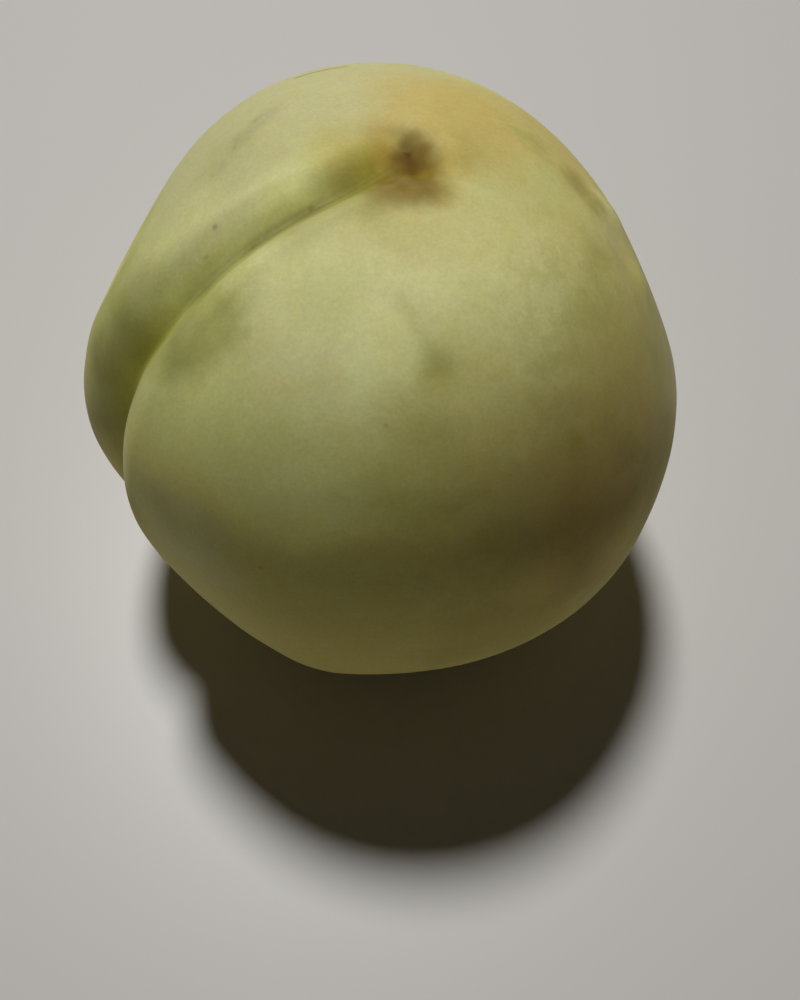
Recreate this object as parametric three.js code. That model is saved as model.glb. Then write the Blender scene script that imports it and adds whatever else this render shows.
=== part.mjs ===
// A peach as picked, resting on its stem end with the flower tip uppermost. It is one solid: two unequal
// lobes parted by a suture, a small basin with a scar at the tip, and a funnel where the stem left.
// Millimetres, +Z up. The origin is under the middle of the fruit, on the surface that it rests on.
import * as THREE from "three";
import { mergeVertices } from "three/addons/utils/BufferGeometryUtils.js";

const { degToRad, lerp, smoothstep } = THREE.MathUtils;

// The round body, before its hollows. X runs across the fruit, and -Y is the side with the broad lobe.
const HALF_WIDTH = 33.9;
const HALF_DEPTH = 34.2;
const HALF_HEIGHT = 34.8;
const MIDDLE_HEIGHT = 32; // what would lie lower than the surface is pressed flat on it
const REST_EDGE = 0.2; // half the height over which the flat spot rounds into the skin

// The upper half bends over towards this side, so the tip stands off the middle.
const TIP_LEAN = 7;
const TIP_LEAN_TOWARDS = 40;

// The suture: a crease from the tip to the stem funnel. Near the tip it swings round by SUTURE_SWING.
const SUTURE_AZIMUTH = 206.8;
const SUTURE_SWING = 42;
const SUTURE_SWING_FADE = 14;
const SUTURE_DEPTH = 2.15;
const SUTURE_DEEPENS = 0.5; // by this share of the depth, from the tip down to the side
const SUTURE_BROAD_SIDE = [3.4, 6.8]; // from the crease to the crest of the lobe, near the tip and low down
const SUTURE_NARROW_SIDE = [3.1, 10]; // the same for the narrow lobe
const SUTURE_WIDENS_FROM = 15; // degrees down from the tip
const SUTURE_WIDENS_TO = 80;
const SUTURE_ROUNDING = 0.4;
const SUTURE_FULL_FROM = 6; // from the axis, at both ends
const SUTURE_FADES_FROM = 100; // degrees down from the tip
const SUTURE_FADES_TO = 160;
const SUTURE_LEFT_AT_STEM = 0.45; // share of the depth

// Broad swells (+) and hollows (-) of the skin: azimuth, angle down from the tip, height, reach in degrees.
const SWELLS = [
  { at: "right shoulder", azimuth: 11, down: 62, height: -1.25, reach: 22 },
  { at: "top right", azimuth: 10, down: 30, height: -0.5, reach: 18 },
  { at: "crown", azimuth: 98, down: 38, height: 0.9, reach: 30 },
  { at: "left shoulder", azimuth: 166, down: 58, height: -1.8, reach: 19 },
  { at: "left dip", azimuth: 171, down: 63, height: -1.2, reach: 8 },
  { at: "narrow lobe", azimuth: 190, down: 84, height: 0.1, reach: 13 },
  { at: "lip hollow", azimuth: 224, down: 47, height: -0.5, reach: 8 },
  { at: "left flank", azimuth: 228, down: 98, height: -1.9, reach: 21 },
  { at: "left heel", azimuth: 258, down: 109, height: 0.4, reach: 8 },
  { at: "front heel", azimuth: 279, down: 109, height: -0.2, reach: 11 },
  { at: "front crown", azimuth: 285, down: 34, height: 1.5, reach: 18 },
  { at: "front", azimuth: 288, down: 60, height: 0.5, reach: 22 },
  { at: "belly", azimuth: 318, down: 98, height: 1.5, reach: 28 },
  { at: "right side", azimuth: 355, down: 80, height: 0.9, reach: 20 },
];

// The basin at the tip, steep on the side of the narrow lobe, whose rim hooks round it, with a scar.
const BASIN_CENTRE = [0.8, -1.4];
const BASIN_DEPTH = 1.7;
const BASIN_EDGE = 2.6; // 2 would round its edge as a bell, and more makes it sharper
const BASIN_STEEP_REACH = 1.9;
const BASIN_GENTLE_REACH = 4.4;
const BASIN_STEEP_TOWARDS = 42;
const RIM_HEIGHT = 0.3;
const RIM_RADIUS = 3.4;
const RIM_WIDTH = 1.7;
const RIM_TOWARDS = 45;
const SCAR_DEPTH = 0.6;
const SCAR_RADIUS = 0.6;

// The funnel that the stem left.
const FUNNEL_DEPTH = 10.7;
const FUNNEL_RADIUS = 6.4;

// The net of the skin, drawn together along the suture and towards the tip and the funnel.
const COLUMNS = 72;
const ROWS = 48;
const SUTURE_CROWDING = 0.6;
const END_CROWDING = 0.5;

const bell = (distance, reach) => Math.exp(-((distance / reach) ** 2));

const direction = (down, azimuth) =>
  new THREE.Vector3(
    Math.sin(down) * Math.cos(azimuth),
    Math.sin(down) * Math.sin(azimuth),
    Math.cos(down),
  );

const swellCentres = SWELLS.map(({ azimuth, down }) =>
  direction(degToRad(down), degToRad(azimuth)),
);

// The azimuth of the crease at an angle down from the tip.
function sutureAzimuth(down) {
  const swing = SUTURE_SWING * Math.exp(-down / degToRad(SUTURE_SWING_FADE));
  return degToRad(SUTURE_AZIMUTH + swing);
}

// How deep the suture's groove is at an angle round from the crease, positive towards the broad lobe.
function sutureDepth(down, round) {
  const out = Math.sin(down) * HALF_WIDTH;
  const across = round * out;
  const widening = smoothstep(down, degToRad(SUTURE_WIDENS_FROM), degToRad(SUTURE_WIDENS_TO));
  const side = lerp(...(across > 0 ? SUTURE_BROAD_SIDE : SUTURE_NARROW_SIDE), widening);
  const rounded = Math.hypot(across, SUTURE_ROUNDING) - SUTURE_ROUNDING;
  const wall = 1 - Math.sin((Math.min(rounded / side, 1) * Math.PI) / 2);
  const begins = smoothstep(out, 0, SUTURE_FULL_FROM);
  const ends = smoothstep(down, degToRad(SUTURE_FADES_FROM), degToRad(SUTURE_FADES_TO));
  const share = begins * (1 + SUTURE_DEEPENS * widening) * (1 - (1 - SUTURE_LEFT_AT_STEM) * ends);
  return SUTURE_DEPTH * wall * share;
}

// How far the swells lift the skin in a direction from the middle.
function swellHeight(towards) {
  const lift = ({ height, reach }, i) => height * bell(towards.angleTo(swellCentres[i]), degToRad(reach));
  return SWELLS.map(lift).reduce((sum, height) => sum + height, 0);
}

// How far the basin, its rim and its scar lift or lower the skin.
function tipHeight(down, azimuth) {
  if (down > Math.PI / 3) return 0;
  const out = Math.tan(down) * HALF_WIDTH;
  const x = out * Math.cos(azimuth) - BASIN_CENTRE[0];
  const y = out * Math.sin(azimuth) - BASIN_CENTRE[1];
  const distance = Math.hypot(x, y);
  const towards = Math.atan2(y, x);
  const steep = (1 + Math.cos(towards - degToRad(BASIN_STEEP_TOWARDS))) / 2;
  const reach = lerp(BASIN_GENTLE_REACH, BASIN_STEEP_REACH, steep);
  const hooked = smoothstep(Math.cos(towards - degToRad(RIM_TOWARDS)), -0.2, 0.8);
  const rim = RIM_HEIGHT * bell(distance - RIM_RADIUS, RIM_WIDTH) * hooked;
  const basin = BASIN_DEPTH * Math.exp(-((distance / reach) ** BASIN_EDGE));
  return rim - basin - SCAR_DEPTH * bell(out, SCAR_RADIUS);
}

// A height over the surface, with what lies lower pressed up to it and the edge of the flat spot rounded.
function pressedFlat(height) {
  if (Math.abs(height) > REST_EDGE) return Math.max(height, 0);
  return (height + REST_EDGE) ** 2 / (4 * REST_EDGE);
}

// The place of the skin at an angle down from the tip and an angle round from the crease.
function skinPoint(down, round) {
  const azimuth = sutureAzimuth(down) + round;
  const point = direction(down, azimuth);
  const lift = swellHeight(point) + tipHeight(down, azimuth) - sutureDepth(down, round);
  point.multiply(new THREE.Vector3(HALF_WIDTH + lift, HALF_DEPTH + lift, HALF_HEIGHT + lift));
  if (down > Math.PI / 2) point.z += FUNNEL_DEPTH * bell(Math.sin(down) * HALF_WIDTH, FUNNEL_RADIUS);

  const leanAxis = direction(Math.PI / 2, degToRad(TIP_LEAN_TOWARDS + 90));
  point.applyAxisAngle(leanAxis, (degToRad(TIP_LEAN) * (1 + Math.cos(down))) / 2);
  point.z = pressedFlat(point.z + MIDDLE_HEIGHT);
  return point;
}

function fruitGeometry() {
  const sphere = new THREE.SphereGeometry(1, COLUMNS, ROWS).rotateX(Math.PI / 2);
  sphere.deleteAttribute("normal");
  sphere.deleteAttribute("uv");
  const geometry = mergeVertices(sphere);
  const position = geometry.getAttribute("position");
  for (let i = 0; i < position.count; i++) {
    const net = new THREE.Vector3().fromBufferAttribute(position, i);
    const evenDown = Math.acos(THREE.MathUtils.clamp(net.z, -1, 1));
    const evenRound = Math.atan2(net.y, net.x);
    const down = evenDown - (END_CROWDING * Math.sin(2 * evenDown)) / 2;
    const round = evenRound - SUTURE_CROWDING * Math.sin(evenRound);
    position.setXYZ(i, ...skinPoint(down, round));
  }
  geometry.computeBoundingBox();
  const middle = geometry.boundingBox.getCenter(new THREE.Vector3());
  geometry.translate(-middle.x, -middle.y, 0);
  geometry.computeVertexNormals();
  return geometry;
}

const skin = new THREE.MeshStandardMaterial({ color: 0xb8b46e, roughness: 0.65, metalness: 0 });

const peach = new THREE.Mesh(fruitGeometry(), skin);
peach.name = "peach";

const part = new THREE.Group();
part.add(peach);

export default part;
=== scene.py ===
# A peach as picked, resting on its stem end on a pale table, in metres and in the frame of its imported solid.
import math
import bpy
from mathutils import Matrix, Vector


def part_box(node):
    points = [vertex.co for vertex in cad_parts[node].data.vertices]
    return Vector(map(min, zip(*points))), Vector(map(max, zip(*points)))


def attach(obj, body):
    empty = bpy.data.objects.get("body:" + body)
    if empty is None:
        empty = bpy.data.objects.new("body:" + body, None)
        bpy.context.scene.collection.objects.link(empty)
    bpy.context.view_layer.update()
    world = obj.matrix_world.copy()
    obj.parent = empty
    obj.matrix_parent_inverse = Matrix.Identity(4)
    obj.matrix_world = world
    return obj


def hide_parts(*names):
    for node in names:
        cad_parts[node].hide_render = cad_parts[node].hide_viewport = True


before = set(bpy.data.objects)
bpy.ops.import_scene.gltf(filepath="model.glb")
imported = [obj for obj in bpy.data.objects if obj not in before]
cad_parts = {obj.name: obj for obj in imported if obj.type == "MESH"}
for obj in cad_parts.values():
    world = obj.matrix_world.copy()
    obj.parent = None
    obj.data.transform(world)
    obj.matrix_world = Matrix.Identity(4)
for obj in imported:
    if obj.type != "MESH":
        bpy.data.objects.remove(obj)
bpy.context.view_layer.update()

from types import SimpleNamespace

import bmesh
import bpy
import numpy as np
from mathutils import Vector, noise

NODE = "peach"
MM = 0.001

# ------------------------------------------------------------------------------------------------ form

# Lengths are in millimetres and angles in degrees. Azimuths run round from +X, and angles down start at +Z.
# The round body before its hollows, its height above the table, and the way its tip leans.
HALF_WIDTH = 33.9
HALF_DEPTH = 34.2
HALF_HEIGHT = 34.8
MIDDLE_HEIGHT = 32.0
REST_EDGE = 0.2
TIP_LEAN = 7
TIP_LEAN_TOWARDS = 40

# The suture's way from the tip down the flank: it swings in beside the tip and bends a little farther down.
SUTURE_AZIMUTH = 206.8
SUTURE_SWING = 42
SUTURE_SWING_FADE = 14
SUTURE_BEND = -0.8
SUTURE_BEND_MIDDLE = 63
SUTURE_BEND_REACH = 11

# How deep it is, and how far it reaches over each lobe: near the tip, and where it is wide.
SUTURE_DEPTH = 2.15
SUTURE_DEEPENS = 0.5
SUTURE_BROAD_SIDE = (3.4, 6.8)
SUTURE_NARROW_SIDE = (3.1, 10)
SUTURE_WIDENS_FROM = 15
SUTURE_WIDENS_TO = 80
SUTURE_ROUNDING = 0.3
SUTURE_FULL_FROM = 8.5
SUTURE_FADES_FROM = 100
SUTURE_FADES_TO = 160
SUTURE_LEFT_AT_STEM = 0.45

# The crease wobbles from side to side in two waves, which have so many radians to a radian down.
CREASE_WOBBLE = 0.04
CREASE_WOBBLE_REACH = 1.6
CREASE_WAVES = (19, 31)

# Broad swells (+) and hollows (-): azimuth, angle down, height and reach in degrees.
SWELLS = {
    "right shoulder": (11, 62, -1.25, 22),
    "top right": (10, 30, -0.5, 18),
    "crown": (98, 38, 0.9, 30),
    "left shoulder": (166, 58, -1.8, 19),
    "left dip": (171, 63, -1.2, 8),
    "narrow lobe": (190, 84, 0.1, 13),
    "lip hollow": (224, 47, -0.5, 8),
    "left flank": (228, 98, -1.9, 21),
    "left heel": (258, 109, 0.4, 8),
    "front heel": (279, 109, -0.2, 11),
    "front crown": (285, 34, 1.5, 18),
    "front": (288, 60, 0.5, 22),
    "belly": (318, 98, 1.5, 28),
    "right side": (355, 80, 0.9, 20),
}

# The basin at the tip, the rim that hooks round it, and the scar. A power shapes the basin's edge, and the hook
# gives the cosines between which the rim rises. All of it ends at an angle down.
BASIN_CENTRE = (0.8, -1.4)
BASIN_DEPTH = 1.45
BASIN_EDGE = 2.6
BASIN_STEEP_REACH = 2.5
BASIN_GENTLE_REACH = 4.4
BASIN_STEEP_TOWARDS = 42
RIM_HEIGHT = 0.3
RIM_RADIUS = 3.4
RIM_WIDTH = 1.7
RIM_TOWARDS = 45
RIM_HOOK = (-0.2, 0.8)
SCAR_DEPTH = 0.45
SCAR_RADIUS = 0.6
TIP_ENDS = 60

FUNNEL_DEPTH = 10.7
FUNNEL_RADIUS = 6.4

# Fine relief. Lumps have a height and a size, and those at the tip a reach about it.
BROAD_LUMPS = (0.16, 13)
SMALL_LUMPS = (0.05, 4.5)
TIP = (3.0, 2.4, 64.8)
TIP_LUMPS = (0.04, 1.3)
TIP_LUMPS_REACH = 5

# Round dents (-) and bumps (+): place, height and reach.
DENTS = (
    ((0.9, 2.4, 65.6), 0.35, 1.5),
    ((25.0, 1.0, 53.8), -0.5, 3.2),
    ((23.0, 4.8, 56.0), 0.3, 3.0),
    ((20.4, 4.4, 58.5), -0.25, 1.6),
    ((24.8, 6.0, 53.6), 0.3, 2.5),
    ((27.6, -0.4, 50.8), 0.35, 2.4),
    ((17.0, 8.0, 60.5), -0.15, 2.0),
    ((21.5, -4.3, 57.9), -0.12, 1.5),
    ((5.6, -19.9, 61.5), -0.12, 2.0),
)

# Thin marks: the places that they pass, then their height and their reach to each side.
FAINT_CREASE = ((2.2, -14.6, 64.6), (5.6, -19.9, 61.5))
SCUFF = ((-11.0, 9.2, 63.9), (-12.4, 8.1, 63.5), (-13.4, 6.6, 63.3), (-14.0, 4.8, 63.4), (-15.3, 2.2, 63.0))
TIP_RIDGE = ((1.6, 4.7, 66.4), (3.5, 4.2, 66.3), (4.8, 2.9, 65.9), (5.2, 1.6, 65.6))
THIN_MARKS = ((FAINT_CREASE, -0.1, 1.1), (SCUFF, -0.05, 0.8), (TIP_RIDGE, 0.1, 0.7))

# Heights above the table between which the fine relief comes in, so that the resting face stays flat.
RELIEF_COMES_IN = (0.6, 5)

# The net of the skin is denser at the suture and at both ends.
MERIDIANS = 90
PARALLELS = 60
NET_CUTS = 3
SUTURE_CROWDING = 0.6
END_CROWDING = 0.5


def bell(distance, reach):
    return np.exp(-((distance / reach) ** 2))


def smoothstep(low, high, x):
    t = np.clip((x - low) / (high - low), 0, 1)
    return t * t * (3 - 2 * t)


def direction(down, azimuth):
    """Unit vectors at angles down from +Z and round from +X."""
    return np.stack([np.sin(down) * np.cos(azimuth), np.sin(down) * np.sin(azimuth), np.cos(down)], axis=-1)


def suture_azimuth(down):
    swing = SUTURE_SWING * np.exp(-down / math.radians(SUTURE_SWING_FADE))
    bend = SUTURE_BEND * bell(np.degrees(down) - SUTURE_BEND_MIDDLE, SUTURE_BEND_REACH)
    return np.radians(SUTURE_AZIMUTH + swing + bend)


def suture_widening(down):
    """0 near the tip, where the groove is narrow, and 1 down on the side."""
    return smoothstep(math.radians(SUTURE_WIDENS_FROM), math.radians(SUTURE_WIDENS_TO), down)


def suture_wall(down, round_):
    """1 in the crease, falling to 0 at the crests of the two lobes."""
    across = round_ * np.sin(down) * HALF_WIDTH
    waves = np.sin(CREASE_WAVES[0] * down) + np.sin(CREASE_WAVES[1] * down + 1)
    across = across + CREASE_WOBBLE * waves * bell(across, CREASE_WOBBLE_REACH)
    widening = suture_widening(down)
    broad = SUTURE_BROAD_SIDE[0] + (SUTURE_BROAD_SIDE[1] - SUTURE_BROAD_SIDE[0]) * widening
    narrow = SUTURE_NARROW_SIDE[0] + (SUTURE_NARROW_SIDE[1] - SUTURE_NARROW_SIDE[0]) * widening
    side = np.where(across > 0, broad, narrow)
    rounded = np.hypot(across, SUTURE_ROUNDING) - SUTURE_ROUNDING
    return 1 - np.sin(np.minimum(rounded / side, 1) * math.pi / 2)


def suture_share(down):
    """How much of the groove's full depth it has at an angle down from the tip."""
    begins = smoothstep(0, SUTURE_FULL_FROM, np.sin(down) * HALF_WIDTH)
    deepens = 1 + SUTURE_DEEPENS * suture_widening(down)
    ends = smoothstep(math.radians(SUTURE_FADES_FROM), math.radians(SUTURE_FADES_TO), down)
    return begins * deepens * (1 - (1 - SUTURE_LEFT_AT_STEM) * ends)


def swell_height(towards):
    lift = 0
    for azimuth, down, height, reach in SWELLS.values():
        centre = direction(math.radians(down), math.radians(azimuth))
        lift = lift + height * bell(np.degrees(np.arccos(np.clip(towards @ centre, -1, 1))), reach)
    return lift


def tip_height(down, azimuth):
    """The basin at the tip, the rim that hooks round it, and the scar."""
    tip_ends = math.radians(TIP_ENDS)
    out = np.tan(np.minimum(down, tip_ends)) * HALF_WIDTH
    x = out * np.cos(azimuth) - BASIN_CENTRE[0]
    y = out * np.sin(azimuth) - BASIN_CENTRE[1]
    distance = np.hypot(x, y)
    towards = np.arctan2(y, x)
    steep = (1 + np.cos(towards - math.radians(BASIN_STEEP_TOWARDS))) / 2
    reach = BASIN_GENTLE_REACH + (BASIN_STEEP_REACH - BASIN_GENTLE_REACH) * steep
    basin = BASIN_DEPTH * np.exp(-((distance / reach) ** BASIN_EDGE))
    hooked = smoothstep(*RIM_HOOK, np.cos(towards - math.radians(RIM_TOWARDS)))
    rim = RIM_HEIGHT * bell(distance - RIM_RADIUS, RIM_WIDTH) * hooked
    lift = rim - basin - SCAR_DEPTH * bell(out, SCAR_RADIUS)
    return np.where(down < tip_ends, lift, 0)


def skin_points(down, round_):
    """The skin's places in millimetres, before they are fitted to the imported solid."""
    azimuth = suture_azimuth(down) + round_
    towards = direction(down, azimuth)
    lift = swell_height(towards) + tip_height(down, azimuth)
    lift = lift - SUTURE_DEPTH * suture_wall(down, round_) * suture_share(down)
    half = np.array([HALF_WIDTH, HALF_DEPTH, HALF_HEIGHT])
    point = towards * (half + lift[:, None])
    below = down > math.pi / 2
    point[:, 2] += np.where(below, FUNNEL_DEPTH * bell(np.sin(down) * HALF_WIDTH, FUNNEL_RADIUS), 0)

    # The body leans more and more towards its tip.
    turn = math.radians(TIP_LEAN) * (1 + np.cos(down)) / 2
    c, s = math.cos(math.radians(TIP_LEAN_TOWARDS)), math.sin(math.radians(TIP_LEAN_TOWARDS))
    along = point[:, 0] * c + point[:, 1] * s
    aside = point[:, 1] * c - point[:, 0] * s
    leaned = along * np.cos(turn) + point[:, 2] * np.sin(turn)

    # What would lie below the table is pressed flat, with a rounded edge.
    z = point[:, 2] * np.cos(turn) - along * np.sin(turn) + MIDDLE_HEIGHT
    rounded = (z + REST_EDGE) ** 2 / (4 * REST_EDGE)
    z = np.where(np.abs(z) > REST_EDGE, np.maximum(z, 0), rounded)
    return np.stack([leaned * c - aside * s, leaned * s + aside * c, z], axis=-1)


def fit_to_solid(points):
    """Points in metres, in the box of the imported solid."""
    low, high = (np.array(corner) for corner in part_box(NODE))
    size = points.max(axis=0) - points.min(axis=0)
    return low + (points - points.min(axis=0)) / size * (high - low)


def noise_lumps(points, size):
    """Smooth noise from -1 to 1 at the points, with lumps of about this size in millimetres."""
    return np.array([noise.noise(Vector(point) / size) for point in points])


def from_place(points, place):
    return np.linalg.norm(points - np.array(place), axis=1)


def from_line(points, start, end):
    """How far the points lie from a straight line between two places."""
    start, along = np.array(start), np.subtract(end, start)
    share = np.clip((points - start) @ along / (along @ along), 0, 1)
    return np.linalg.norm(points - start - share[:, None] * along, axis=1)


def fine_relief(points):
    """How far lumps, dents and thin marks lift or lower the skin, in millimetres."""
    lift = np.zeros(len(points))
    for height, size in (BROAD_LUMPS, SMALL_LUMPS):
        lift += height * noise_lumps(points, size)
    lift += TIP_LUMPS[0] * bell(from_place(points, TIP), TIP_LUMPS_REACH) * noise_lumps(points, TIP_LUMPS[1])
    for place, height, reach in DENTS:
        lift += height * bell(from_place(points, place), reach)
    for path, height, reach in THIN_MARKS:
        for start, end in zip(path, path[1:]):
            lift += height * bell(from_line(points, start, end), reach)
    return lift * smoothstep(*RELIEF_COMES_IN, points[:, 2])


def read_vectors(vertices, name):
    """A vector of each vertex, as rows."""
    values = np.empty(len(vertices) * 3)
    vertices.foreach_get(name, values)
    return values.reshape(-1, 3)


def add_to_scene(name, data):
    made = bpy.data.objects.new(name, data)
    bpy.context.scene.collection.objects.link(made)
    return made


def make_peach():
    bm = bmesh.new()
    bmesh.ops.create_uvsphere(bm, u_segments=MERIDIANS, v_segments=PARALLELS, radius=1)
    bmesh.ops.subdivide_edges(bm, edges=bm.edges[:], cuts=NET_CUTS, use_grid_fill=True)
    mesh = bpy.data.meshes.new("peach_skin")
    bm.to_mesh(mesh)
    bm.free()

    # Where each point of the net lies: the angle down from the tip, and the angle round from the crease.
    net = read_vectors(mesh.vertices, "co")
    net /= np.linalg.norm(net, axis=1)[:, None]
    even_down = np.arccos(np.clip(net[:, 2], -1, 1))
    even_round = np.arctan2(net[:, 1], net[:, 0])
    down = even_down - END_CROWDING * np.sin(2 * even_down) / 2
    round_ = even_round - SUTURE_CROWDING * np.sin(even_round)
    places = fit_to_solid(skin_points(down, round_))
    mesh.vertices.foreach_set("co", places.ravel())
    mesh.update()

    places += read_vectors(mesh.vertices, "normal") * fine_relief(places / MM)[:, None] * MM
    mesh.vertices.foreach_set("co", places.ravel())
    mesh.shade_smooth()
    mesh.update()

    # What the skin's colours follow: the angle down from the tip, and the way over each lobe from the crease.
    across = round_ * np.sin(down) * HALF_WIDTH
    over_lobes = {"on_broad": np.maximum(across, 0), "on_narrow": np.maximum(-across, 0)}
    for name, values in {"down": np.degrees(down), **over_lobes}.items():
        layer = mesh.attributes.new(name, "FLOAT", "POINT")
        layer.data.foreach_set("value", values.astype(np.float32))
    return add_to_scene("peach_skin", mesh)


peach = make_peach()
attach(peach, "root")
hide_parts(NODE)

# ---------------------------------------------------------------------------------------- shader maths


class Paint:
    """A socket of a material's nodes. Arithmetic on it adds Math nodes."""

    def __init__(self, tree, socket=None):
        self.tree = tree
        self.socket = socket

    def node(self, kind, settings=None, sockets=None, out=0):
        """A new node in the same material, set up first and then filled or linked."""
        made = self.tree.nodes.new(kind)
        for name, value in (settings or {}).items():
            if name == "stops":
                ramp = made.color_ramp.elements
                while len(ramp) < len(value):
                    ramp.new(1)
                for stop, (at, level) in zip(ramp, value):
                    stop.position = at
                    stop.color = (level, level, level, 1)
            else:
                setattr(made, name, value)
        for name, value in (sockets or {}).items():
            if isinstance(value, Paint):
                self.tree.links.new(value.socket, made.inputs[name])
            else:
                made.inputs[name].default_value = value
        return Paint(self.tree, made.outputs[out] if made.outputs else None)

    def math(self, operation, first, second):
        return self.node("ShaderNodeMath", {"operation": operation}, {0: first, 1: second})

    def __add__(self, other):
        return self.math("ADD", self, other)

    __radd__ = __add__

    def __sub__(self, other):
        return self.math("SUBTRACT", self, other)

    def __rsub__(self, other):
        return self.math("SUBTRACT", other, self)

    def __mul__(self, other):
        return self.math("MULTIPLY", self, other)

    __rmul__ = __mul__

    def __truediv__(self, other):
        return self.math("DIVIDE", self, other)


def fade(value, full, none):
    """1 where the value is at full or past it, falling smoothly to 0 where it is at none."""
    limits = {"Value": value, "From Min": full, "From Max": none, "To Min": 1.0, "To Max": 0.0}
    return value.node("ShaderNodeMapRange", {"interpolation_type": "SMOOTHSTEP"}, limits)


def between(value, comes, goes):
    """1 between two edges. Each has the value at which it starts and the one at which it is done."""
    return fade(value, comes[1], comes[0]) * fade(value, goes[0], goes[1])


def follow(angle, stops):
    """A level that runs through stops: an angle in degrees and the level there."""
    stops = [(at / RAMP_SPAN, level) for at, level in stops]
    return angle.node("ShaderNodeValToRGB", {"stops": stops}, {0: angle / RAMP_SPAN})


def either(first, second):
    return first.math("MAXIMUM", first, second)


def lay(under, over, mask):
    """A colour laid over another where the mask is 1."""
    return mask.node("ShaderNodeMix", {"data_type": "RGBA"}, {0: mask, 6: under, 7: over}, out=2)


def multiply_colour(under, by, mask):
    """A colour multiplied by another where the mask is 1, for real stains, painted light and painted shade
    alike.
    """
    return lay(under, vector("MULTIPLY", under, by), mask)


def tone(colour, level):
    """A colour, or a place, times a number."""
    return colour.node("ShaderNodeVectorMath", {"operation": "SCALE"}, {0: colour, "Scale": level})


def vector(operation, first, second, out=0):
    return first.node("ShaderNodeVectorMath", {"operation": operation}, {0: first, 1: second}, out=out)


def clouds(place, size, detail=2.0, roughness=0.5, out=0):
    """Noise around a half, with clouds of about this size in millimetres."""
    values = {"Vector": place, "Scale": 1 / size, "Detail": detail, "Roughness": roughness}
    return place.node("ShaderNodeTexNoise", {"noise_dimensions": "3D"}, values, out=out)


def patch(place, centre, full, none):
    """A round patch about a place on the skin: 1 within one radius and 0 outside the other."""
    return fade(vector("DISTANCE", place, centre, out=1), full, none)


def stroke(place, start, end, full, none):
    """A straight stroke between two places on the skin."""
    along = np.subtract(end, start)
    from_start = vector("SUBTRACT", place, start)
    share = vector("DOT_PRODUCT", from_start, tuple(along / (along @ along)), out=1)
    share = share.node("ShaderNodeClamp", {}, {"Value": share})
    onto = share.node("ShaderNodeVectorMath", {"operation": "SCALE"}, {0: tuple(along), "Scale": share})
    return fade(vector("DISTANCE", from_start, onto, out=1), full, none)


def trail(place, path, full, none):
    """Strokes from each place on a path to the next."""
    mask = stroke(place, path[0], path[1], full, none)
    for start, end in zip(path[1:], path[2:]):
        mask = either(mask, stroke(place, start, end, full, none))
    return mask


def rgb(red, green, blue):
    return (red, green, blue, 1)


# ------------------------------------------------------------------------------------------------ skin

GROUND = rgb(0.600, 0.590, 0.205)
GROUND_PALE = rgb(0.670, 0.660, 0.275)
GROUND_DEEP = rgb(0.530, 0.525, 0.145)
TOP_PALE = rgb(0.550, 0.520, 0.260)
LEFT_GREEN = rgb(0.600, 0.615, 0.230)
# Paler skin, partly painted light: on the front of the crown and on the far crest by the groove.
PALE_CROWN_AND_LIGHT = rgb(0.780, 0.760, 0.375)
# The suture's own deeper green, darkened further as painted shade on the groove's far wall.
CREASE_GREEN_AND_SHADE = rgb(0.420, 0.410, 0.035)
# A deeper green, mostly painted shade: in the hollow behind the near lip, on the far lobe's left side and along
# the faint crease.
HOLLOW_GREEN_AND_SHADE = rgb(0.400, 0.405, 0.100)
# Painted shade: a dull green that darkens the near lip, which faces the lamp.
LIP_SHADE = rgb(0.445, 0.425, 0.165)
SUNNY_SIDE = rgb(0.520, 0.460, 0.150)
GOLD = rgb(0.650, 0.575, 0.200)
GOLD_PALE = rgb(0.740, 0.670, 0.265)
LOW_GOLD = rgb(0.620, 0.535, 0.135)
LOW_OLIVE = rgb(0.680, 0.620, 0.170)
BELOW_TIP = rgb(0.560, 0.500, 0.190)
BLUSH = rgb(0.580, 0.450, 0.140)
FLUSH = rgb(0.560, 0.330, 0.130)
# Bronze skin, made darker as painted shade for the dim lower front.
BRONZE_AND_SHADE = rgb(0.410, 0.295, 0.070)
EDGE_BRONZE = rgb(0.400, 0.350, 0.110)
OLIVE = rgb(0.430, 0.420, 0.110)
SPECK = rgb(0.250, 0.200, 0.060)
STEM_GREEN = rgb(0.480, 0.480, 0.120)
CORK = rgb(0.170, 0.100, 0.040)

# In the tables below a patch lies about a place in millimetres and has two radii. It is full within the first
# and gone outside the second. Patches have a colour and the share that it covers, and lie one over another.
FIELDS = (
    (LEFT_GREEN, 0.8, (-22, -16, 46), 12, 40),
    (TOP_PALE, 0.9, (-6, 16, 62), 8, 24),
    (SUNNY_SIDE, 0.9, (30, -6, 42), 10, 32),
)
PATCHES = (
    (GOLD, 0.65, (12, -1, 64), 5, 17),
    (GOLD, 0.5, (8, -22, 58), 3, 11),
    # Paler skin and painted light on the front of the crown.
    (PALE_CROWN_AND_LIGHT, 0.85, (-2, -14.5, 63), 4, 17),
    (PALE_CROWN_AND_LIGHT, 0.5, (12, -10, 63), 3, 13),
    (BELOW_TIP, 0.5, (5, -6, 66), 2, 8),
    (EDGE_BRONZE, 0.8, (33, 0, 44), 3, 13),
    (GROUND_PALE, 0.8, (-19.5, -25.7, 41.5), 2, 10),
    (LOW_OLIVE, 0.6, (4, -31, 47.5), 2, 10),
    # Paler skin and painted light on the front of the crown.
    (PALE_CROWN_AND_LIGHT, 0.8, (0.6, -19.5, 61.6), 1, 7),
    (TOP_PALE, 0.75, (-15, 3, 62), 3, 14),
    (BELOW_TIP, 0.6, (-1, -6.5, 66.4), 2, 8),
    (LOW_OLIVE, 0.35, (6, -25, 55), 4, 14),
)

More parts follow.
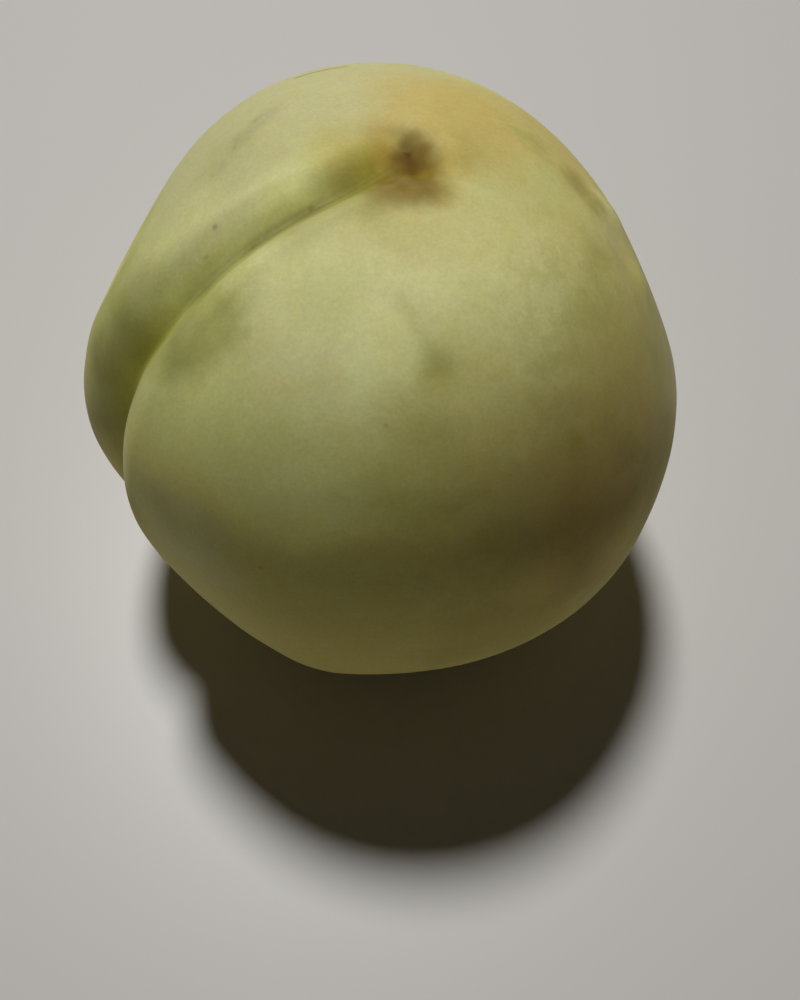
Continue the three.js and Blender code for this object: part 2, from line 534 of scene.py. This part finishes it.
# The sunny side: a blush beside the tip, bronze lower down that is partly painted shade on the dim lower front,
# and gold and olive between them.
SUNNY_PATCHES = (
    (BLUSH, 0.9, (8, 9, 65), 3, 13),
    (BLUSH, 0.5, (12, 2, 65), 2, 9),
    (BLUSH, 0.7, (18, 12, 58), 3, 11),
    (BRONZE_AND_SHADE, 0.88, (22, -23, 45), 4, 20),
    (GOLD_PALE, 0.8, (23.6, 3.5, 55.4), 1, 6),
    (GOLD, 0.35, (27.5, -18, 41), 1, 6),
    (EDGE_BRONZE, 0.6, (29.5, -8, 46), 2, 10),
    (OLIVE, 0.3, (3.5, -25, 56), 2, 9),
    (BRONZE_AND_SHADE, 0.35, (12, -32, 32), 3, 11),
    (BRONZE_AND_SHADE, 0.12, (7, -30, 46), 4, 14),
)

# Patches that multiply the colour are patches too: they start with what they multiply it by. Some are stains,
# some painted light and some painted shade, as said at each.
# Painted shade in the hollow behind the near lip and beside the groove lower down.
HOLLOW_SHADES = (
    ((0.78, 0.78, 0.76), (-17.6, -14.2, 57.2), 1.2, 5.0),
    ((0.82, 0.80, 0.76), (-24.2, -9.2, 52.3), 1.5, 4.5),
    ((0.78, 0.75, 0.68), (-28.4, -8.2, 47.8), 1.5, 5.0),
    ((0.90, 0.88, 0.90), (-23.5, -5.0, 56.3), 1.0, 3.8),
)

# The tip: tan where the groove begins, painted shade beside it, and browns with frayed edges close to the scar,
# among them two spots of painted light.
TIP_TANS = (
    ((0.95, 0.90, 0.76), (-1.5, 3.4, 66.0), 1.0, 5.5),
    ((1.00, 0.94, 0.75), (-1.2, -0.4, 65.5), 1.0, 5.0),
)
TIP_SHADES = (
    ((0.86, 0.84, 0.88), (-1.6, -1.0, 65.2), 1.0, 3.6),
    ((0.93, 0.93, 0.82), (-0.4, -5.2, 66.4), 1.0, 4.0),
)
TIP_BROWNS_AND_LIGHT = (
    ((0.94, 0.86, 0.72), (0.6, 3.2, 66.0), 0.5, 2.8),
    ((0.90, 0.77, 0.58), (0.6, 1.0, 65.4), 0.3, 2.3),
    ((0.70, 0.60, 0.42), (1.2, -1.6, 65.7), 0.4, 1.7),
    ((0.84, 0.78, 0.62), (6.4, -0.2, 66.0), 0.6, 3.2),
    ((0.80, 0.72, 0.56), (5.6, -3.6, 66.2), 0.6, 3.0),
    ((0.58, 0.455, 0.15), (2.8, 0.4, 65.1), 0.8, 2.5),
    # Painted light: two spots in the basin, shaded by its walls, are brightened.
    ((1.28, 1.30, 1.22), (2.5, -3.5, 66.4), 0.4, 2.0),
    ((1.20, 1.22, 1.16), (4.9, -0.9, 65.7), 0.3, 1.6),
    ((0.86, 0.84, 0.80), (-0.2, -6.4, 66.5), 0.2, 2.2),
)
SCAR_STAIN = ((0.42, 0.30, 0.00), (2.9, 2.1, 65.0), 0.1, 0.85)

# Places on the lobes that are a little darker or paler than the skin round them.
DARKER_AND_PALER_PLACES = (
    ((0.90, 0.89, 0.84), (22.9, -1.5, 56.6), 0.5, 3.2),
    ((0.95, 0.93, 0.90), (5.3, -20.5, 60.9), 0.5, 2.6),
    ((0.86, 0.88, 0.68), (18.1, -21.4, 52.6), 0.3, 2.1),
    ((0.84, 0.88, 0.80), (24.5, -18.6, 47.0), 0.5, 3.2),
    ((0.90, 0.92, 0.86), (8.7, 2.2, 65.6), 0.5, 3.8),
    ((1.24, 1.30, 1.36), (25.3, -23.4, 36.9), 1.0, 7.0),
    ((1.20, 1.20, 1.24), (16.1, -29.5, 40.3), 1.0, 6.0),
    ((1.13, 1.16, 1.35), (-28.3, -5.8, 49.5), 0.8, 3.5),
    ((1.15, 1.14, 1.16), (-15.7, -13.4, 59.1), 0.8, 3.8),
    ((1.05, 1.09, 1.05), (0.6, -19.8, 61.6), 1.0, 6.0),
    ((0.93, 0.95, 0.88), (-3.7, -13.3, 64.3), 1.0, 6.0),
    ((0.93, 0.94, 0.88), (-13.9, 4.9, 63.3), 1.0, 6.0),
    ((1.10, 1.14, 1.14), (-24.1, -21.3, 41.7), 1.0, 5.0),
    ((0.94, 0.95, 0.86), (-6.4, -23.0, 57.2), 1.0, 6.0),
)

# Small marks: soft olive spots, with their share, place and reach, specks, and the paths of a scratch, of a
# smear and of the rim at the tip, which painted shade darkens.
MAIN_SPOT = (5.6, -19.9, 61.5)
SPOTS = (
    (1.0, (20.4, 4.5, 58.4), 2.2),
    (0.8, (21.3, 3.7, 57.6), 1.9),
    (0.5, (18.9, 5.6, 59.7), 1.9),
    (0.6, (15.3, 8.6, 61.5), 2.4),
    (0.6, (21.5, -4.3, 57.9), 2.2),
    (0.6, (20.7, -6.4, 58.4), 1.6),
)
MAIN_SPECK = (-14.7, -4.4, 62.7)
SPECKS = (
    (-11.1, -6.2, 61.9),
    (-15.7, -6.3, 60.7),
    (-5.8, -3.6, 64.3),
    (1.0, -23.3, 58.6),
    (-11.1, -30.0, 44.0),
)
SCRATCH = ((-8.2, 17.1, 61.8), (-5.8, 17.9, 62.0), (-3.4, 18.4, 62.2))
SMEAR = ((-10.6, 9.0, 64.1), (-13.2, 5.6, 63.7), (-15.3, 2.2, 63.0))
TIP_RIM = ((2.2, -1.3, 65.6), (4.1, -2.3, 66.0), (5.2, -2.4, 66.1))

# Along the suture: an angle down from the tip, and how much of a colour shows there.
RAMP_SPAN = 100
# The crease's green on the far wall, partly painted shade, by angle down.
WALL_GREEN_AND_SHADE_STOPS = (
    (2, 0),
    (7, 0.75),
    (12, 0.6),
    (17, 0.25),
    (30, 0.1),
    (40, 0.2),
    (46, 0.4),
    (53, 0.8),
    (70, 0.75),
    (95, 0.4),
)
# Painted shade along the near lip, by angle down.
LIP_SHADE_STOPS = ((5, 0), (10, 0.9), (24, 0.95), (30, 0.2), (37, 0.1), (43, 0.9), (75, 0.5), (100, 0.2))
# Painted light: how much the shaded far wall of the groove is brightened.
FAR_WALL_LIGHT_STOPS = ((12, 0.1), (16, 0.3), (19, 1), (24, 1), (30, 0.65), (36, 0.5), (42, 0.4), (46, 0.5), (50, 0))

# What single marks multiply the colour by: some are painted light, some painted shade and some stains, as said
# at each.
# Painted light that brightens the far wall of the groove.
FAR_WALL_LIGHT = (1.45, 1.5, 1.45)
# Painted light on the far lobe beside the groove.
FAR_LOBE_LIGHT = (1.08, 1.09, 1.07)
# Painted shade on the near lip's edge, which faces the lamp.
NEAR_EDGE_SHADE = (0.70, 0.70, 0.59)
# Painted shade in the bottom of the groove.
GROOVE_BOTTOM_SHADE = (0.82, 0.82, 0.74)
BROAD_LOBE_BROWN = (0.64, 0.55, 0.40)
TIP_BROWN = (0.37, 0.28, 0.08)
# Painted shade on the basin's rim at the tip, which catches the lamp.
TIP_RIM_SHADE = (0.82, 0.80, 0.70)
SMEAR_GREY = (0.90, 0.90, 0.93)
SCUFF_GREY = (0.84, 0.86, 0.86)
SHOULDER_SHADE = (0.82, 0.77, 0.74)
BESIDE_TIP = (0.99, 1.07, 1.18)
BLOTCH = (0.95, 0.955, 0.90)
STREAK = (0.92, 0.94, 0.88)
OCHRE = (0.995, 0.975, 0.92)

# Noise: the size of its clouds, its detail and its roughness. It runs about a half.
NOISE_MIDDLE = 0.5
DRIFT = (9, 3)
FLUTTER = (1.6, 2, 0.6)
BROAD_CLOUDS = (17, 2)
MIDDLE_CLOUDS = (5, 3, 0.6)
OCHRE_CLOUDS = (3.0, 3, 0.65)
BLOTCHES = (5.5, 3, 0.6)
FRECKLES = (2.4, 3, 0.7)
STREAKS = (1.7, 4, 0.65)
LUMPS = (1.1, 2, 0.6)
DOWNY = (0.36, 2, 0.7)

# How far drift and flutter shift a place, for edges that run unevenly, a little unevenly and frayed.
UNEVEN = (11.0, 2.0)
UNEVEN_LITTLE = (2.0, 1.2)
FRAYED = 1.0

# How strongly the noises show as grain and in the relief.
GRAIN_OF_CLOUDS = 0.08
GRAIN_OF_LUMPS = 0.14
GRAIN_OF_DOWN = 0.26
RELIEF_OF_LUMPS = 0.4
RELIEF_OF_DOWN = 0.6

# Behind: which way that side faces, how far over the edge its blush comes in, and its streaks and pores.
BODY_MIDDLE = (0, 0, 32)
FACING = (0, -0.585, 0.81)
BEHIND_COMES_IN = 9.0
STREAKED = (1.0, 1.0, 0.35)
PORE_SPACING = 4.5

ROUGHNESS = 0.7
ROUGHNESS_VARIES = 0.15
BUMP_STRENGTH = 0.3
BUMP_HEIGHT = 0.06 * MM
FLESH_GLOWS = 0.15
FLESH_GLOWS_TO = 2.5 * MM
FLESH_RED_GREEN_BLUE = (1.0, 0.7, 0.25)
SHEEN = 0.06
SHEEN_ROUGHNESS = 0.4
SHEEN_TINT = rgb(0.95, 0.96, 0.95)
SPECULAR = 0.25
REFRACTION = 1.4


def lay_patches(skin, place, rows):
    for colour, share, centre, full, none in rows:
        skin = lay(skin, colour, share * patch(place, centre, full, none))
    return skin


def multiply_patches(skin, place, rows):
    for by, centre, full, none in rows:
        skin = multiply_colour(skin, by, patch(place, centre, full, none))
    return skin


def read_skin(start):
    """What the colours follow: places in millimetres, the angle down, the ways over the lobes, and noise."""
    place = tone(start.node("ShaderNodeTexCoord", out=3), 1 / MM)
    on = SimpleNamespace(place=place)
    followed = ("down", "on_broad", "on_narrow")
    attributes = [start.node("ShaderNodeAttribute", {"attribute_name": name}, out=2) for name in followed]
    on.down, on.broad, on.narrow = attributes

    # Patches are found from a place that noise has shifted, so that their edges run unevenly.
    middle = (NOISE_MIDDLE, NOISE_MIDDLE, NOISE_MIDDLE)
    drift = vector("SUBTRACT", clouds(place, *DRIFT, out=1), middle)
    flutter = vector("SUBTRACT", clouds(place, *FLUTTER, out=1), middle)
    on.uneven, on.uneven_little = (
        vector("ADD", vector("ADD", place, tone(drift, by_drift)), tone(flutter, by_flutter))
        for by_drift, by_flutter in (UNEVEN, UNEVEN_LITTLE)
    )
    on.frayed = vector("ADD", place, tone(flutter, FRAYED))

    on.freckles = clouds(place, *FRECKLES)
    on.lumps = clouds(place, *LUMPS)
    return on


def paint_ground(on):
    """The ground colour and its fields, gold low down, and the mottling of the sunny side."""
    broad = clouds(on.place, *BROAD_CLOUDS)
    skin = lay(GROUND, GROUND_PALE, 0.7 * fade(broad, 0.66, 0.48))
    skin = lay(skin, GROUND_DEEP, 0.6 * fade(broad, 0.34, 0.52))
    skin = lay_patches(skin, on.uneven, FIELDS)
    skin = lay(skin, LOW_GOLD, 0.85 * fade(on.down, 84, 64))
    skin = lay(skin, LOW_OLIVE, 0.6 * between(on.down, (58, 66), (74, 84)))
    skin = lay_patches(skin, on.uneven, PATCHES + SUNNY_PATCHES)

    mottle = fade(on.freckles, 0.62, 0.42) * patch(on.uneven, (20, -11, 56), 5, 18)
    skin = lay(skin, OLIVE, 0.28 * mottle)
    band = stroke(on.uneven_little, (14, 9.2, 62), (21.8, 3.4, 57.4), 0.4, 3.4)
    return lay(skin, OLIVE, 0.5 * band * fade(on.freckles, 0.58, 0.36))


def paint_suture(skin, on):
    """The crease's green and its far wall, deepened with painted shade; painted light on the far wall, its
    crest and the far lobe; painted shade on the far lobe's left side, on the near lip, in the groove's bottom
    and in the soft hollow behind the lip.
    """
    # Painted shade, with some deeper green, on the far lobe's left side.
    skin = lay(skin, HOLLOW_GREEN_AND_SHADE, 0.8 * patch(on.uneven, (-28, -7, 49), 4, 13))
    # Painted light: a pale band along the far lobe's crest brightens its shaded slope.
    crest = fade(on.narrow, 2.4, 1.0) * fade(on.narrow, 3.0, 6.5) * between(on.down, (14, 20), (36, 46))
    skin = lay(skin, PALE_CROWN_AND_LIGHT, 0.4 * crest)
    # Painted shade over the near lip, which faces the lamp.
    lip = follow(on.down, LIP_SHADE_STOPS) * fade(on.broad, 1.5, 6.5) * fade(on.narrow, 0.0, 0.3)
    skin = lay(skin, LIP_SHADE, lip)
    # The crease's green, deepened with painted shade on the far wall.
    wall = fade(on.broad, 0.6, 2.4) * fade(on.narrow, 0.3, 4.6) * follow(on.down, WALL_GREEN_AND_SHADE_STOPS)
    skin = lay(skin, CREASE_GREEN_AND_SHADE, wall)
    # Painted light: the far wall, shaded by its slope, is brightened.
    far_wall_light = follow(on.down, FAR_WALL_LIGHT_STOPS) * fade(on.narrow, 1.6, 3.4) * fade(on.narrow, 0.9, 0.3)
    skin = multiply_colour(skin, FAR_WALL_LIGHT, far_wall_light)

    # Painted shade, with some deeper green, in the soft hollow behind the near lip.
    hollow = stroke(on.uneven, (-13.5, -12.5, 60.5), (-19.5, -14, 55.5), 0.5, 6)
    skin = lay(skin, HOLLOW_GREEN_AND_SHADE, 0.7 * hollow)
    # Painted shade in the hollow behind the near lip and beside the groove.
    skin = multiply_patches(skin, on.uneven_little, HOLLOW_SHADES)
    # Painted light: a band of the far lobe beside the groove is brightened.
    far_lobe_light = stroke(on.uneven_little, (-20.2, -4.2, 59.5), (-16.3, -1.1, 62.5), 0.5, 4.0)
    skin = multiply_colour(skin, FAR_LOBE_LIGHT, far_lobe_light)

    # Painted shade: the lit edge of the near lip is darkened.
    near_edge_shade = fade(on.broad, 0.5, 1.9) * fade(on.narrow, 0.0, 0.3) * between(on.down, (3, 6), (38, 48))
    skin = multiply_colour(skin, NEAR_EDGE_SHADE, near_edge_shade)
    # Painted shade: a lit line in the bottom of the groove is darkened.
    bottom = fade(on.narrow, 0.3, 1.3) * fade(on.broad, 0.2, 0.8) * between(on.down, (16, 20), (28, 33))
    return multiply_colour(skin, GROOVE_BOTTOM_SHADE, bottom)


def paint_tip(skin, on):
    """A brown patch that is darkest by the scar and soft all round, tan where the groove begins, painted shade
    beside the groove and on the basin's lit rim, and two spots of painted light in the basin.
    """
    skin = multiply_patches(skin, on.uneven, TIP_TANS)
    skin = multiply_patches(skin, on.uneven_little, TIP_SHADES)
    skin = multiply_patches(skin, on.frayed, TIP_BROWNS_AND_LIGHT)
    skin = multiply_patches(skin, on.place, (SCAR_STAIN,))
    on_broad_lobe = patch(on.frayed, (1.3, -3.6, 66.4), 0.8, 3.6) * fade(on.narrow, 0.0, 0.8)
    skin = multiply_colour(skin, BROAD_LOBE_BROWN, on_broad_lobe)
    in_front = 0.82 * patch(on.frayed, (3.7, -3.2, 66.3), 0.7, 4.0)
    brown = either(stroke(on.frayed, (3.6, 1.7, 65.1), (4.2, -1.0, 65.6), 0.6, 3.0), in_front)
    skin = multiply_colour(skin, TIP_BROWN, brown)
    # Painted shade: the basin's lit rim is darkened.
    return multiply_colour(skin, TIP_RIM_SHADE, trail(on.place, TIP_RIM, 0.1, 0.8))


def paint_marks(skin, on):
    """Soft spots, small specks, a grey scuff in a smear, a thin scratch, and a faint crease darkened with
    painted shade.
    """
    spots = patch(on.frayed, MAIN_SPOT, 0.3, 3.0)
    for share, centre, reach in SPOTS:
        spots = either(spots, share * patch(on.frayed, centre, 0.3, reach))
    skin = lay(skin, OLIVE, 0.6 * spots)
    specks = patch(on.place, MAIN_SPECK, 0.05, 0.45)
    for centre in SPECKS:
        specks = either(specks, 0.8 * patch(on.frayed, centre, 0.05, 0.40))
    skin = lay(skin, SPECK, 0.45 * specks)

    smear = trail(on.uneven_little, SMEAR[:2], 0.3, 2.2)
    smear = either(smear, 0.7 * trail(on.uneven_little, SMEAR[1:], 0.2, 1.6))
    skin = multiply_colour(skin, SMEAR_GREY, smear)
    scuff = either(trail(on.frayed, SCUFF[:2], 0.1, 1.0), trail(on.frayed, SCUFF[1:], 0.1, 0.8))
    skin = multiply_colour(skin, SCUFF_GREY, scuff * fade(on.lumps, 0.30, 0.52))
    skin = lay(skin, SPECK, 0.7 * trail(on.frayed, SCRATCH, 0.1, 0.5))
    # Painted shade, with some deeper green, along the faint crease.
    return lay(skin, HOLLOW_GREEN_AND_SHADE, 0.2 * trail(on.frayed, FAINT_CREASE, 0.1, 1.2))


def paint_soft_places(skin, on):
    """Places darker or paler than the skin round them, and mottling on the side of the broad lobe."""
    skin = multiply_patches(skin, on.uneven_little, DARKER_AND_PALER_PLACES)
    shoulder = stroke(on.uneven_little, (19.8, 6.3, 58.5), (21.4, 3.6, 57.5), 0.4, 3.0)
    skin = multiply_colour(skin, SHOULDER_SHADE, shoulder)
    beside_tip = stroke(on.uneven_little, (11.3, -0.8, 64.7), (15.5, 1.8, 62.4), 1.0, 5.0)
    skin = multiply_colour(skin, BESIDE_TIP, beside_tip)
    blotches = fade(clouds(on.place, *BLOTCHES), 0.60, 0.44) * patch(on.uneven, (22, -20, 48), 14, 30)
    return multiply_colour(skin, BLOTCH, blotches)


def paint_behind(skin, on):
    """The side turned to the sun, behind: a mottled blush, streaks along the fruit, and scattered pores."""
    facing = vector("DOT_PRODUCT", vector("SUBTRACT", on.place, BODY_MIDDLE), FACING, out=1)
    behind = fade(facing, 0.0, BEHIND_COMES_IN)
    streaks = clouds(vector("MULTIPLY", on.uneven_little, STREAKED), *STREAKS)
    skin = lay(skin, BLUSH, 0.75 * patch(on.uneven, (26, 16, 40), 8, 26) * behind)
    flushed = patch(on.uneven, (23, 21, 40), 3, 20) * fade(streaks, 0.68, 0.32)
    skin = lay(skin, FLUSH, 0.65 * flushed * behind)
    skin = multiply_colour(skin, STREAK, fade(streaks, 0.66, 0.36) * behind)
    pores = on.place.node("ShaderNodeTexVoronoi", {}, {"Vector": on.place, "Scale": 1 / PORE_SPACING})
    return lay(skin, SPECK, 0.35 * fade(pores, 0.03, 0.09) * behind)


def paint_stem(skin, on):
    """The stem's funnel, greener inside, with the corky scar that the stem left."""
    skin = lay(skin, STEM_GREEN, 0.9 * patch(on.uneven, (0, 0, 4), 7, 13))
    return lay(skin, CORK, 0.95 * patch(on.frayed, (-0.3, 0, 8.0), 1.6, 3.0))


def paint_skin():
    material = bpy.data.materials.new("peach_skin")
    material.use_nodes = True
    material.node_tree.nodes.clear()
    start = Paint(material.node_tree)
    on = read_skin(start)
    skin = paint_ground(on)
    for paint in (paint_suture, paint_tip, paint_marks, paint_soft_places, paint_behind, paint_stem):
        skin = paint(skin, on)

    # The colour wanders a little between green and ochre, and the down shows as a fine pale and dark grain.
    ochre = fade(clouds(on.place, *OCHRE_CLOUDS), 0.66, 0.46)
    skin = multiply_colour(skin, OCHRE, ochre)
    middle = clouds(on.place, *MIDDLE_CLOUDS)
    downy = clouds(on.place, *DOWNY)
    level = 1 + GRAIN_OF_CLOUDS * (middle - NOISE_MIDDLE)
    level = level + GRAIN_OF_LUMPS * (on.lumps - NOISE_MIDDLE) + GRAIN_OF_DOWN * (downy - NOISE_MIDDLE)

    relief = on.lumps * RELIEF_OF_LUMPS + downy * RELIEF_OF_DOWN
    bump = {"Strength": BUMP_STRENGTH, "Distance": BUMP_HEIGHT, "Height": relief}
    looks = {
        "Base Color": tone(skin, level),
        "Roughness": ROUGHNESS + ROUGHNESS_VARIES * (on.lumps - NOISE_MIDDLE),
        "IOR": REFRACTION,
        "Specular IOR Level": SPECULAR,
        "Subsurface Weight": FLESH_GLOWS,
        "Subsurface Radius": FLESH_RED_GREEN_BLUE,
        "Subsurface Scale": FLESH_GLOWS_TO,
        "Sheen Weight": SHEEN,
        "Sheen Roughness": SHEEN_ROUGHNESS,
        "Sheen Tint": SHEEN_TINT,
        "Normal": start.node("ShaderNodeBump", {}, bump),
    }
    surface = start.node("ShaderNodeBsdfPrincipled", {}, looks)
    start.node("ShaderNodeOutputMaterial", {}, {"Surface": surface})
    return material


peach.data.materials.append(paint_skin())

# ------------------------------------------------------------------------------------------------ stage

CAMERA_PLACE = Vector((2.24, -70.57, 130.30)) * MM
CAMERA_PITCH = 60.887
CAMERA_LENS = 36
CAMERA_SENSOR = 36
CAMERA_NEAR = 5 * MM

LIGHT_AIM = Vector((0, 0, 32.4)) * MM
LIGHT_ELEVATION = 68.3
LIGHT_AZIMUTH = -12.5
LIGHT_DISTANCE = 0.65
LIGHT_SIZE = 0.115
LIGHT_POWER = 3.45
ROOM_COLOUR = rgb(1, 0.88, 0.7)
ROOM_STRENGTH = 0.03

TABLE_HALF = 1.5
TABLE_COLOUR = rgb(0.62, 0.6, 0.57)
TABLE_ROUGHNESS = 0.4

camera_data = bpy.data.cameras.new("camera")
camera_data.lens = CAMERA_LENS
camera_data.sensor_width = CAMERA_SENSOR
camera_data.sensor_fit = "AUTO"
camera_data.clip_start = CAMERA_NEAR
camera = add_to_scene("camera", camera_data)
camera.location = CAMERA_PLACE
camera.rotation_euler = (math.radians(90 - CAMERA_PITCH), 0, 0)
bpy.context.scene.camera = camera

light_data = bpy.data.lights.new("key", "AREA")
light_data.shape = "DISK"
light_data.size = LIGHT_SIZE
light_data.energy = LIGHT_POWER
light = add_to_scene("key", light_data)
up, aside = math.radians(LIGHT_ELEVATION), math.radians(LIGHT_AZIMUTH)
towards_light = Vector((math.sin(aside) * math.cos(up), math.cos(aside) * math.cos(up), math.sin(up)))
light.location = LIGHT_AIM + towards_light * LIGHT_DISTANCE
light.rotation_euler = towards_light.to_track_quat("Z", "Y").to_euler()

world = bpy.data.worlds.new("room")
world.use_nodes = True
background = world.node_tree.nodes["Background"].inputs
background["Color"].default_value = ROOM_COLOUR
background["Strength"].default_value = ROOM_STRENGTH
bpy.context.scene.world = world

bm = bmesh.new()
bmesh.ops.create_grid(bm, x_segments=1, y_segments=1, size=TABLE_HALF)
floor_mesh = bpy.data.meshes.new("table")
bm.to_mesh(floor_mesh)
bm.free()
floor = add_to_scene("table", floor_mesh)
table = bpy.data.materials.new("table")
table.use_nodes = True
table_looks = table.node_tree.nodes["Principled BSDF"].inputs
table_looks["Base Color"].default_value = TABLE_COLOUR
table_looks["Roughness"].default_value = TABLE_ROUGHNESS
floor_mesh.materials.append(table)

bpy.context.scene.view_settings.view_transform = "Standard"
